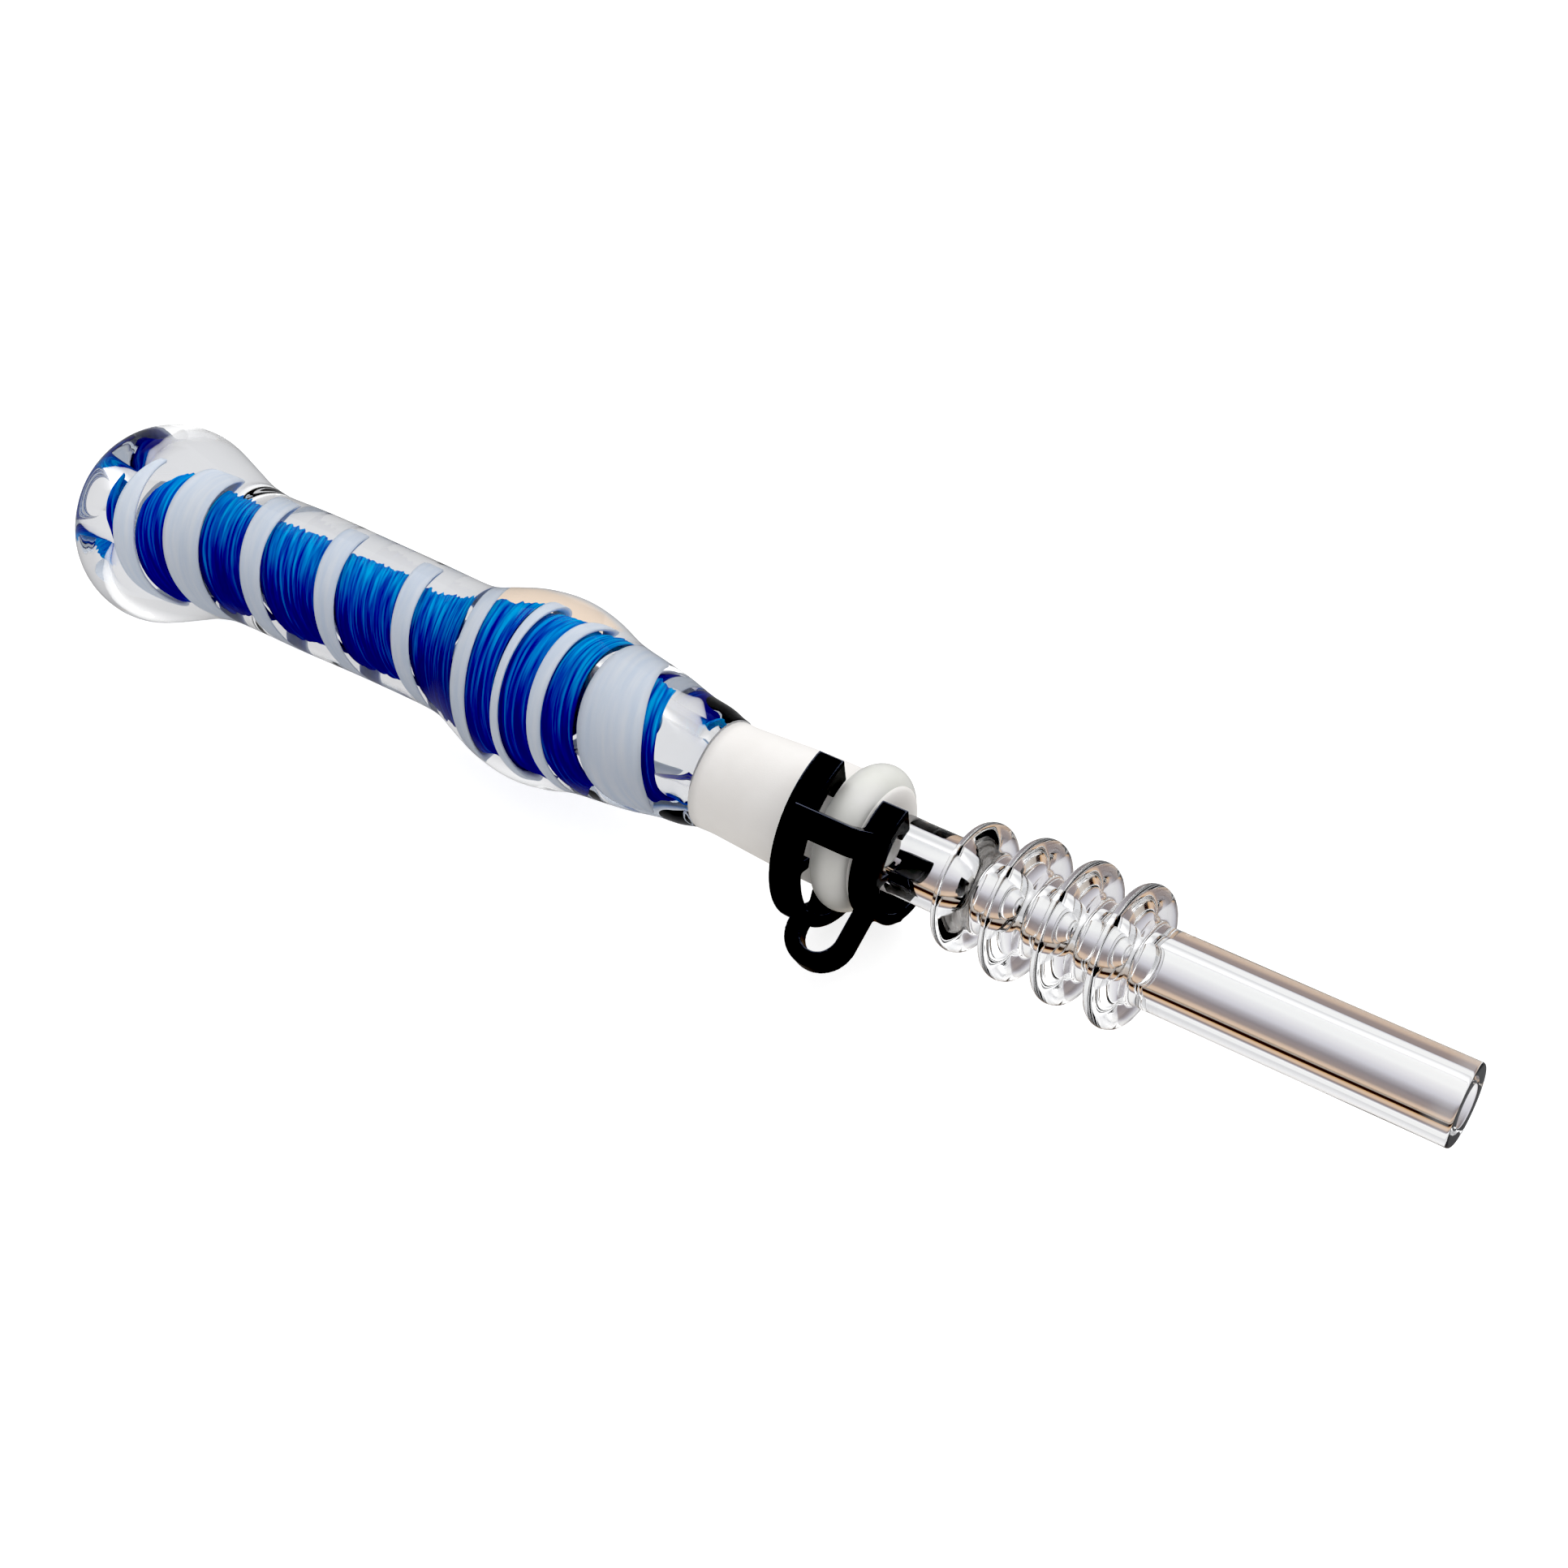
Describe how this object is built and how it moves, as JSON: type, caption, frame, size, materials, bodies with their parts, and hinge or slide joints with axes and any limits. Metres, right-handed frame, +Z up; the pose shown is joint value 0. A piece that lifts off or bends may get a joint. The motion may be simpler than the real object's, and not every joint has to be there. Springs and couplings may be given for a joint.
{
  "type": "jointed glass straw",
  "caption": "Heavy clear glass straw: a knobbed handle with blue and white trails in its wall, a ground joint held by a black open clip, and a straight tip with glass rings.",
  "frame": {"origin": "centre of the mouth hole, in the plane of the mouth rim", "axes": "+X along the straw's axis towards the open tip, +Z up, -Y towards the front, where the clip's pull loop points down and forward"},
  "size_m": [0.2064, 0.0298, 0.0288],
  "materials": {
    "clear_glass": "fire-polished, clear",
    "blue_glass": "streaky cobalt blue in the wall",
    "white_glass": "milky white in the wall",
    "frosted_glass": "ground, frosted",
    "clip_plastic": "moulded, glossy black"
  },
  "bodies": {
    "handle": {"handle_body": "clear_glass", "blue_trail": "blue_glass", "white_trail": "white_glass", "socket": "frosted_glass", "socket_rim": "frosted_glass"},
    "clip": {"clip_large_collar": "clip_plastic", "clip_small_collar": "clip_plastic", "clip_bridge_front": "clip_plastic", "clip_bridge_back": "clip_plastic", "clip_loop": "clip_plastic"},
    "tip": {"ground_cone": "frosted_glass", "tip_tube": "clear_glass", "ring_1": "clear_glass", "ring_2": "clear_glass", "ring_3": "clear_glass", "ring_4": "clear_glass"}
  },
  "joints": [
    {"name": "clip_turn", "type": "hinge", "parent": "handle", "child": "clip", "pos_m": [0.13, 0, 0], "axis": [1, 0, 0], "continuous": true},
    {"name": "tip_withdraw", "type": "slide", "parent": "handle", "child": "tip", "axis": [1, 0, 0], "range_m": [0, 0.03]}
  ]
}
